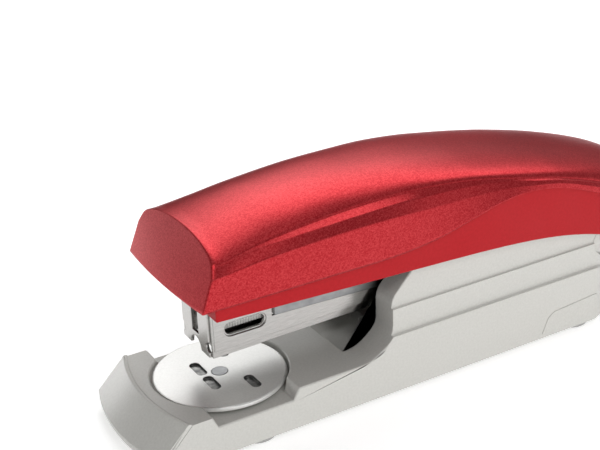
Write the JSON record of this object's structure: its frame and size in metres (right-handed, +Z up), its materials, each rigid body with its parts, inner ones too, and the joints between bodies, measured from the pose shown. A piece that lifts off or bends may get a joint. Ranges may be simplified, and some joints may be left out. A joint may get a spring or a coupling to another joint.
{
  "type": "stapler",
  "caption": "Desktop stapler with an arched metallic red cover, nickel-plated magazine, turning anvil disc and light grey base, hinged at the back.",
  "frame": {"origin": "centre of the bounding box, on the surface the stapler stands on", "axes": "+X towards the stapling end, +Y to the left of that direction, +Z up"},
  "size_m": [0.155, 0.0398, 0.0567],
  "materials": {
    "metallic_red": "fine metallic lacquer, satin",
    "plain_red": "smooth, semi-gloss",
    "grey_plastic": "fine moulded, satin",
    "black_plastic": "moulded, matt",
    "nickel_steel": "bright nickel plate",
    "zinc_steel": "zinc plate",
    "driver_steel": "blued, dark",
    "spring_steel": "drawn wire and strip",
    "screw_steel": "bright turned steel",
    "staple_wire": "galvanised wire, glued strip",
    "foot_rubber": "soft, matt"
  },
  "bodies": {
    "base": {"base_housing": "grey_plastic", "base_plate": "zinc_steel", "plate_screws": "screw_steel", "front_feet": "foot_rubber", "rear_feet": "foot_rubber", "hinge_bracket": "zinc_steel", "bracket_screws": "screw_steel", "hinge_pin": "screw_steel", "hinge_caps": "grey_plastic", "return_leaf": "spring_steel", "leaf_rivet": "screw_steel", "anvil_washer": "spring_steel"},
    "anvil": {"anvil_disc": "nickel_steel", "anvil_post": "nickel_steel", "anvil_clip": "spring_steel"},
    "magazine": {"magazine_channel": "nickel_steel", "head_plate": "nickel_steel", "staple_rail": "nickel_steel", "staple_strip": "staple_wire", "guide_rod": "screw_steel", "rail_end_block": "black_plastic", "pusher_spring": "spring_steel", "magazine_carrier": "zinc_steel", "carrier_rivets": "screw_steel", "pivot_bush": "zinc_steel", "spring_seat": "black_plastic", "cover_spring": "spring_steel"},
    "pusher": {"pusher": "black_plastic"},
    "cover": {"top_shell": "metallic_red", "cover_skirt": "plain_red", "handle_channel": "zinc_steel", "driver_blade": "driver_steel", "driver_rivets": "screw_steel", "shell_screws": "screw_steel"}
  },
  "joints": [
    {"name": "magazine_hinge", "type": "hinge", "parent": "base", "child": "magazine", "pos_m": [-0.056, 0, 0.023], "axis": [0, -1, 0], "range_deg": [-4.25, 0], "stiffness_Nm_per_rad": 3, "springref_deg": 2.86, "deforming": ["return_leaf"]},
    {"name": "cover_hinge", "type": "hinge", "parent": "magazine", "child": "cover", "pos_m": [-0.056, 0, 0.023], "axis": [0, -1, 0], "range_deg": [-6.2, 55], "deforming": ["cover_spring"]},
    {"name": "anvil_turn", "type": "hinge", "parent": "base", "child": "anvil", "pos_m": [0.0502, 0, 0.011], "axis": [0, 0, 1], "range_deg": [0, 180]},
    {"name": "pusher_slide", "type": "slide", "parent": "magazine", "child": "pusher", "axis": [1, 0, 0], "range_m": [-0.03, 0], "stiffness_N_per_m": 40, "springref_m": 0.02, "deforming": ["pusher_spring"]}
  ]
}
